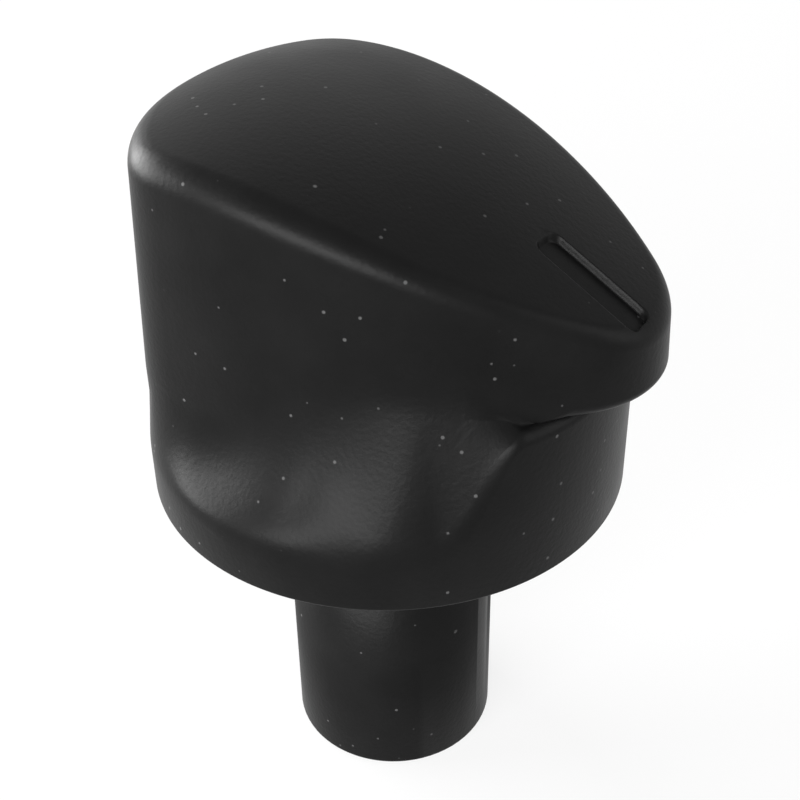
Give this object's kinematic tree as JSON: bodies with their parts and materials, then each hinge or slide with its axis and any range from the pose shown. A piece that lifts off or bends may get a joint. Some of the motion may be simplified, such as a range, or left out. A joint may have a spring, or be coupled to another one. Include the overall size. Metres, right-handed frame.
{
  "type": "stove knob",
  "caption": "Control knob with a round skirt, a sculpted finger grip that tapers to a blunt pointer with a groove, and a long plain stem with a D-shaped shaft socket.",
  "frame": {"origin": "centre of the lead-in hole at the stem's end face, on which the knob stands", "axes": "+Z along the stem towards the grip, +X towards the pointer, +Y across the grip"},
  "size_m": [0.0345, 0.032, 0.0494],
  "materials": {
    "black_moulding": "satin black, fine matte grain",
    "spring_steel": "plain spring steel"
  },
  "bodies": {
    "root": {"knob": "black_moulding", "shaft_spring": "spring_steel"}
  },
  "joints": []
}
